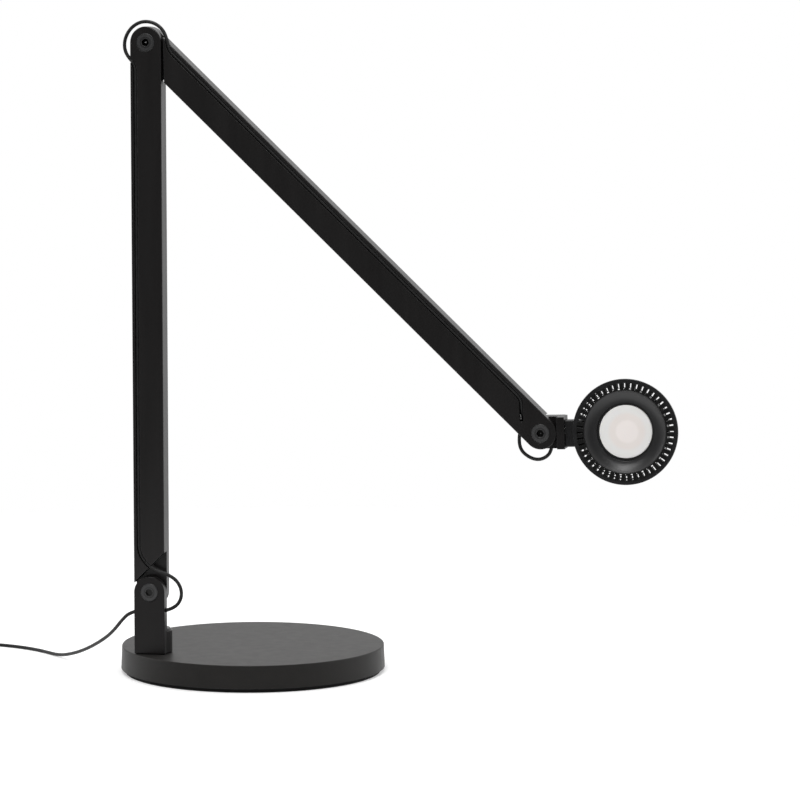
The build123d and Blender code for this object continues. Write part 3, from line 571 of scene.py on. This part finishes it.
def finishMaterial(name, look):
    # one finish: two tones through the grain, rubbed edges, dust, uneven gloss and a fine relief; where
    # given, painted shade in rings and in a socket and a painted glint
    mat, tree, shader = newMaterial(name)
    vector = placed(tree, turn=look.get("turn", (0, 0, 0)), scale=look.get("stretch", (1, 1, 1)))
    grain = useGroup(tree, grainGroup, Vector=vector, Fine=look["fine"], Coarse=look["coarse"])
    colour = blendColours(tree, grain["Mask"], (*look["dark"], 1), (*look["light"], 1))
    height = grain["Height"]
    normal = None
    if "reach" in look:
        worn = useGroup(tree, edgeGroup, Vector=vector, Reach=look["reach"])
        mask = sums(tree, "MULTIPLY", worn["Mask"], look["wear"])
        colour = blendColours(tree, mask, colour, (*look["edge"], 1))
        normal = worn["Normal"]
    if "dust" in look:
        dust = useGroup(tree, dustGroup, Vector=placed(tree), Amount=look["dust"])
        colour = blendColours(tree, dust["Mask"], colour, (*dustTone, 1))
    metallic = look.get("metallic", 0.0)
    if "centre" in look:
        spot = placed(tree, tuple(-c for c in look["centre"]))
        rings = useGroup(tree, ringGroup, Vector=spot, Pitch=look["ringPitch"])
        height = sums(tree, "MULTIPLY_ADD", rings["Height"], look["ringDepth"], height)
        if "bands" in look:
            # painted shade in rings about the centre
            shade = bandShade(tree, rings["Distance"], look["bands"])
            colour = blendColours(tree, shade, (*look["line"], 1), colour)
        if "pit" in look:
            # painted shade inside the socket, made dark and metallic, and a painted glint on the drill
            # point in its floor
            inside, tip = pitMasks(tree, rings["Distance"], look["pit"])
            colour = blendColours(tree, inside, colour, (*look["socketShade"], 1))
            colour = blendColours(tree, tip, colour, (*look["point"], 1))
            metallic = spread(tree, inside, metallic, 1.0)
    feed(tree, shader, **{
        "Base Color": colour,
        "Roughness": spread(tree, grain["Clouds"], *look["gloss"]),
        "Metallic": metallic,
        "Specular IOR Level": look.get("specular", 0.5),
    })
    bump = put(tree, "ShaderNodeBump")
    feed(tree, bump, Strength=look["relief"], Distance=look["depth"], Height=height)
    if normal:
        tree.links.new(normal, bump.inputs["Normal"])
    feed(tree, shader, Normal=bump.outputs[0])
    return mat


def dress(material, *names):
    for name in names:
        mesh = nodes[name].data if name in nodes else bpy.data.objects[name].data
        mesh.materials.clear()
        mesh.materials.append(material)


# finishes

armLook = {
    "dark": (0.0050, 0.0044, 0.0044), "light": (0.0080, 0.0072, 0.0072), "fine": 2600.0, "coarse": 60.0,
    "stretch": (1, 1, 0.10), "gloss": (0.30, 0.36), "specular": 0.30, "reach": 0.0007, "wear": 0.35,
    "edge": (0.10, 0.10, 0.105), "dust": 0.02, "relief": 0.25, "depth": 0.0001,
}
dress(finishMaterial("armBlack", armLook), "lower_arm")
upperLook = armLook | {"turn": (0, -math.radians(tilt["upper"]), 0)}
dress(finishMaterial("upperArmBlack", upperLook), "upper_arm")
bracketLook = armLook | {"stretch": (1, 1, 1), "gloss": (0.32, 0.38), "specular": 0.2}
dress(finishMaterial("bracketBlack", bracketLook), "stem_bracket", "wrist_bracket")
baseLook = {
    "dark": (0.0120, 0.0113, 0.0107), "light": (0.0160, 0.0151, 0.0143), "fine": 1500.0, "coarse": 90.0,
    "gloss": (0.42, 0.45), "specular": 0.14, "reach": 0.0010, "wear": 0.30, "edge": (0.16, 0.16, 0.165),
    "dust": 0.04, "relief": 0.35, "depth": 0.00015,
}
dress(finishMaterial("baseBlack", baseLook), "base_cover")
headLook = {
    "dark": (0.006, 0.006, 0.0065), "light": (0.010, 0.010, 0.0105), "fine": 2200.0, "coarse": 80.0,
    "gloss": (0.34, 0.40), "specular": 0.28, "reach": 0.0005, "wear": 0.35, "edge": (0.13, 0.13, 0.135),
    "dust": 0.02, "relief": 0.22, "depth": 0.0001,
}
slotShade = {  # painted shade: the slotted zone of the front ring is coloured near black, for the shade among its fins
    "centre": tuple(headCentre), "ringPitch": 0.0004, "ringDepth": 0.2,
    "bands": ((0.0, 0.0), (0.0405, 0.0), (0.0416, 1.0), (0.0450, 1.0)), "line": (0.0008, 0.0008, 0.0008),
}
dress(finishMaterial("heatSinkBlack", headLook | slotShade), "heat_sink")
dress(finishMaterial("headBlack", headLook), "rear_cap")
# painted shade: the rear slot ring is coloured darker than the rest of the head, for the shade behind the
# front ring
shadedRingLook = headLook | {"dark": (0.002, 0.002, 0.002), "light": (0.004, 0.004, 0.004)}
dress(finishMaterial("slotRingShaded", shadedRingLook), "rearSlotRing")
funnelLook = {
    "dark": (0.003, 0.003, 0.0035), "light": (0.006, 0.006, 0.0068), "fine": 1800.0, "coarse": 50.0,
    "gloss": (0.34, 0.38), "specular": 0.62, "reach": 0.0004, "wear": 0.2, "edge": (0.08, 0.08, 0.085),
    "relief": 0.15, "depth": 0.0001, "centre": headCentre, "ringPitch": 0.0006, "ringDepth": 0.6,
}
dress(finishMaterial("funnelBlack", funnelLook), "bezel_funnel", "lens_holder")
screwLook = {
    "dark": (0.030, 0.030, 0.031), "light": (0.044, 0.044, 0.045), "fine": 2400.0, "coarse": 160.0,
    "gloss": (0.32, 0.40), "metallic": 0.35, "specular": 0.5, "reach": 0.0004, "wear": 0.5,
    "edge": (0.22, 0.22, 0.225), "relief": 0.25, "depth": 0.0001, "ringPitch": 0.00035, "ringDepth": 1.4,
}
screwFaceShade = {  # painted shade in rings on the hinge screw's face, painted shade in its socket and a painted glint on the drill point in the socket's floor
    "bands": (
        (0.0, 0.8), (0.0036, 0.8), (0.0042, 0.35), (0.0046, 0.35), (0.0050, 1.0), (0.0066, 1.0),
        (0.0071, 0.55), (0.0078, 0.8),
    ),
    "line": (0.004, 0.004, 0.004),
    "pit": {"mouth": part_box("elbow_screw")[0][1] + 0.0002, "fall": 0.0006, "tip": 0.0006, "tipCore": 0.6},
}
socketShading = {  # painted shade and painted glint set for each socket, since the light falls into each at its own angle; the wrist screw's face is painted lighter too
    "shoulder": {"centre": tuple(shoulder), "socketShade": [0.030] * 3, "point": [0.030] * 3},
    "elbow": {"centre": tuple(elbow), "socketShade": [0.002] * 3, "point": [0.90] * 3},
    "wrist": {
        "centre": tuple(wrist), "socketShade": [0.010] * 3, "point": [0.12] * 3,
        "dark": (0.042, 0.042, 0.043), "light": (0.058, 0.058, 0.059),
    },
}
for name, socket in socketShading.items():
    dress(finishMaterial(name + "ScrewBlack", screwLook | screwFaceShade | socket), name + "_screw")
dress(finishMaterial("smallScrewBlack", screwLook), "cap_screws", "neck_grub_screw")
steelLook = {
    "dark": (0.46, 0.46, 0.47), "light": (0.60, 0.60, 0.60), "fine": 1800.0, "coarse": 120.0,
    "stretch": (1, 0.2, 1), "gloss": (0.24, 0.36), "metallic": 1.0, "reach": 0.0003, "wear": 0.4,
    "edge": (0.80, 0.80, 0.80), "relief": 0.2, "depth": 0.0001,
}
dress(
    finishMaterial("brightSteel", steelLook),
    "ballast_screws", "swivel_bolt", "swivel_spring", "neck_stud", "board_screws",
    "shoulder_spring", "shoulder_nut", "elbow_spring", "elbow_nut", "wrist_spring", "wrist_nut",
)
brassLook = steelLook | {
    "dark": (0.52, 0.37, 0.15), "light": (0.66, 0.50, 0.24), "edge": (0.85, 0.70, 0.42),
    "gloss": (0.28, 0.40),
}
dress(finishMaterial("turnedBrass", brassLook), "swivel_bush", "shoulder_bush", "elbow_bush", "wrist_bush")
plasticLook = {
    "dark": (0.085, 0.085, 0.085), "light": (0.12, 0.12, 0.12), "fine": 1600.0, "coarse": 90.0,
    "gloss": (0.45, 0.60), "reach": 0.0003, "wear": 0.3, "edge": (0.2, 0.2, 0.2), "relief": 0.2,
    "depth": 0.0002,
}
dress(
    finishMaterial("dryPlastic", plasticLook),
    "glide_ring", "shoulder_washer", "elbow_washer", "wrist_washer", "neck_liner", "tact_switch",
)
# black rubber, made darker still as painted shade under the base's rim
padRubberShadeLook = {
    "dark": (0.006, 0.006, 0.006), "light": (0.011, 0.011, 0.011), "fine": 900.0, "coarse": 120.0,
    "gloss": (0.70, 0.85), "specular": 0.15, "relief": 0.6, "depth": 0.0003,
    "centre": (0, 0, 0), "ringPitch": 0.004, "ringDepth": 0.5,
}
dress(finishMaterial("padRubberShaded", padRubberShadeLook), "foot_pad")
ironLook = {
    "dark": (0.10, 0.10, 0.10), "light": (0.19, 0.185, 0.18), "fine": 700.0, "coarse": 60.0,
    "gloss": (0.45, 0.70), "metallic": 0.8, "relief": 0.8, "depth": 0.0004,
}
dress(finishMaterial("castIron", ironLook), "ballast_plate")
sheathLook = {
    "dark": (0.007, 0.007, 0.007), "light": (0.012, 0.012, 0.012), "fine": 1400.0, "coarse": 150.0,
    "gloss": (0.42, 0.54), "specular": 0.26, "relief": 0.25, "depth": 0.0001,
}
dress(finishMaterial("leadSheath", sheathLook), "freeLead", "reliefSleeve", *heldTubes)
adapterLook = {
    "dark": (0.018, 0.018, 0.018), "light": (0.030, 0.030, 0.030), "fine": 1100.0, "coarse": 80.0,
    "gloss": (0.50, 0.62), "specular": 0.45, "reach": 0.0006, "wear": 0.25, "edge": (0.10, 0.10, 0.10),
    "dust": 0.05, "relief": 0.7, "depth": 0.0003,
}
dress(finishMaterial("adapterBlack", adapterLook), "adapter_case")
dress(finishMaterial("pinSteel", steelLook | {"stretch": (0.2, 1, 1)}), "adapter_pins")
buttonLook = plasticLook | {"dark": (0.02, 0.02, 0.02), "light": (0.035, 0.035, 0.035)}
dress(finishMaterial("buttonBlack", buttonLook), "switch_button")
whiteLook = {
    "dark": (0.78, 0.78, 0.76), "light": (0.86, 0.86, 0.84), "fine": 900.0, "coarse": 70.0,
    "gloss": (0.50, 0.62), "relief": 0.2, "depth": 0.0001,
}
dress(finishMaterial("boardWhite", whiteLook), "led_board")
dress(finishMaterial("reflectorWhite", whiteLook | {"gloss": (0.35, 0.45)}), "reflector")

opal = {
    "centre": headCentre, "shift": Vector((0.0012, 0.0, 0.0006)),
    "middle": (0.93, 0.865, 0.835), "zone": (0.86, 0.80, 0.765), "rim": (0.85, 0.84, 0.82),
    "radii": (0.0, 0.0080, 0.0108, 0.0132, 0.0175, 0.0235), "ringPitch": 0.002,
    "grain": (0.95, 0.94, 0.92), "grainShare": 0.06, "fine": 1200.0, "coarse": 60.0, "gloss": (0.34, 0.42),
    "relief": 0.05, "depth": 0.0001,
}


def opalMaterial(o):
    # translucent cap: faint zones of the optic behind it
    mat, tree, shader = newMaterial("opalDiffuser")
    spot = placed(tree, tuple(-c for c in o["centre"] + o["shift"]))
    rings = useGroup(tree, ringGroup, Vector=spot, Pitch=o["ringPitch"])
    ramp = put(tree, "ShaderNodeValToRGB")
    ramp.color_ramp.interpolation = "EASE"
    tones = [o["middle"], o["middle"], o["zone"], o["zone"], o["rim"], o["rim"]]
    ramp.color_ramp.elements[1].position = 1.0
    for radius in o["radii"][1:-1]:
        ramp.color_ramp.elements.new(radius / o["radii"][-1])
    for element, tone in zip(ramp.color_ramp.elements, tones):
        element.color = (*tone, 1)
    feed(tree, ramp, s0=sums(tree, "DIVIDE", rings["Distance"], o["radii"][-1]))
    grain = useGroup(tree, grainGroup, Vector=placed(tree), Fine=o["fine"], Coarse=o["coarse"])
    share = sums(tree, "MULTIPLY", grain["Mask"], o["grainShare"])
    colour = blendColours(tree, share, ramp.outputs[0], (*o["grain"], 1))
    bump = put(tree, "ShaderNodeBump")
    feed(tree, bump, Strength=o["relief"], Distance=o["depth"], Height=grain["Height"])
    feed(tree, shader, **{
        "Base Color": colour,
        "Roughness": spread(tree, grain["Clouds"], *o["gloss"]),
        "Normal": bump.outputs[0],
        "Subsurface Weight": 0.15, "Subsurface Radius": (0.003, 0.003, 0.0025), "Subsurface Scale": 1.0,
    })
    return mat


dress(opalMaterial(opal), "opalCap")
print("materials made,", len(bpy.data.materials))

# floor, backdrop and light

floor = {
    "radius": 3.0, "colour": (0.80, 0.80, 0.80), "clouds": 0.985,
    "fadeFrom": 0.45, "fadeTo": 1.10, "lift": 0.36,
}


def addFloor(f):
    bm = bmesh.new()
    bmesh.ops.create_circle(bm, cap_ends=True, segments=96, radius=f["radius"])
    obj = pieceFrom("floor", bm, smooth=False)
    mat, tree, shader = newMaterial("paleFloor")
    coords = placed(tree)
    noise = put(tree, "ShaderNodeTexNoise")
    feed(tree, noise, Vector=coords, Scale=6.0, Detail=3.0)
    darker = [f["clouds"] * c for c in f["colour"]]
    colour = blendColours(tree, noise.outputs[0], (*darker, 1), (*f["colour"], 1))
    path = put(tree, "ShaderNodeLightPath")
    seen = sums(tree, "MAXIMUM", path.outputs["Is Camera Ray"], path.outputs["Is Glossy Ray"])
    seen = sums(tree, "MAXIMUM", seen, path.outputs["Is Transmission Ray"])
    feed(tree, shader, **{
        "Base Color": colour, "Roughness": 0.9, "Specular IOR Level": 0.0,
        "Emission Color": (1, 1, 1, 1), "Emission Strength": sums(tree, "MULTIPLY", seen, f["lift"]),
    })
    far = put(tree, "ShaderNodeVectorMath", operation="LENGTH")
    feed(tree, far, s0=coords)
    fade = spread(tree, far.outputs["Value"], 0.0, 1.0, f["fadeFrom"], f["fadeTo"])
    clear = put(tree, "ShaderNodeBsdfTransparent")
    mixed = put(tree, "ShaderNodeMixShader")
    feed(tree, mixed, s0=fade, s1=shader.outputs[0], s2=clear.outputs[0])
    tree.links.new(mixed.outputs[0], tree.nodes["Material Output"].inputs["Surface"])
    obj.data.materials.append(mat)


studio = {"soft": 0.40, "behind": 1.0, "before": 0.19, "turnFrom": -0.75, "turnTo": -0.10}


def addWorld(w):
    # white behind the lamp and above it, darker on the viewer's side, which shows only in reflections
    world = bpy.data.worlds.new("studio")
    bpy.context.scene.world = world
    world.use_nodes = True
    tree = world.node_tree
    soft = tree.nodes["Background"]
    feed(tree, soft, Color=(1, 1, 1, 1), Strength=w["soft"])
    white = put(tree, "ShaderNodeBackground")
    feed(tree, white, Color=(1, 1, 1, 1), Strength=1.0)
    coords = put(tree, "ShaderNodeTexCoord")
    parts = put(tree, "ShaderNodeSeparateXYZ")
    feed(tree, parts, s0=coords.outputs["Generated"])
    room = put(tree, "ShaderNodeBackground")
    depth = spread(tree, parts.outputs[1], w["before"], w["behind"], w["turnFrom"], w["turnTo"])
    feed(tree, room, Color=(1, 1, 1, 1), Strength=depth)
    path = put(tree, "ShaderNodeLightPath")
    shine = put(tree, "ShaderNodeMixShader")
    feed(tree, shine, s0=path.outputs["Is Glossy Ray"], s1=soft.outputs[0], s2=room.outputs[0])
    seen = sums(tree, "MAXIMUM", path.outputs["Is Camera Ray"], path.outputs["Is Transmission Ray"])
    mixed = put(tree, "ShaderNodeMixShader")
    feed(tree, mixed, s0=seen, s1=shine.outputs[0], s2=white.outputs[0])
    tree.links.new(mixed.outputs[0], tree.nodes["World Output"].inputs["Surface"])


lamps = [  # name, place, what it points at, width, height, power
    ("topLight", (0.15, 0.30, 2.0), (0.05, 0.0, 0.2), 1.8, 1.4, 16.0),
    ("frontLight", (-0.05, -1.9, 2.30), (0.25, 0.0, 0.30), 0.7, 2.4, 42.0),
    ("rightLight", (2.0, 0.5, 0.9), (0.1, 0.0, 0.3), 1.0, 1.6, 12.0),
    ("leftLight", (-1.9, 0.2, 1.0), (0.0, 0.0, 0.3), 1.0, 1.6, 8.0),
]


def addLamp(name, place, aim, width, height, power):
    data = bpy.data.lights.new(name, "AREA")
    data.shape = "RECTANGLE"
    data.size = width
    data.size_y = height
    data.energy = power
    obj = bpy.data.objects.new(name, data)
    obj.location = place
    obj.rotation_mode = "QUATERNION"
    obj.rotation_quaternion = (Vector(aim) - Vector(place)).to_track_quat("-Z", "Y")
    bpy.context.scene.collection.objects.link(obj)


addFloor(floor)
addWorld(studio)
for lamp in lamps:
    addLamp(*lamp)
bpy.context.scene.view_settings.view_transform = "Standard"
print("studio lit")
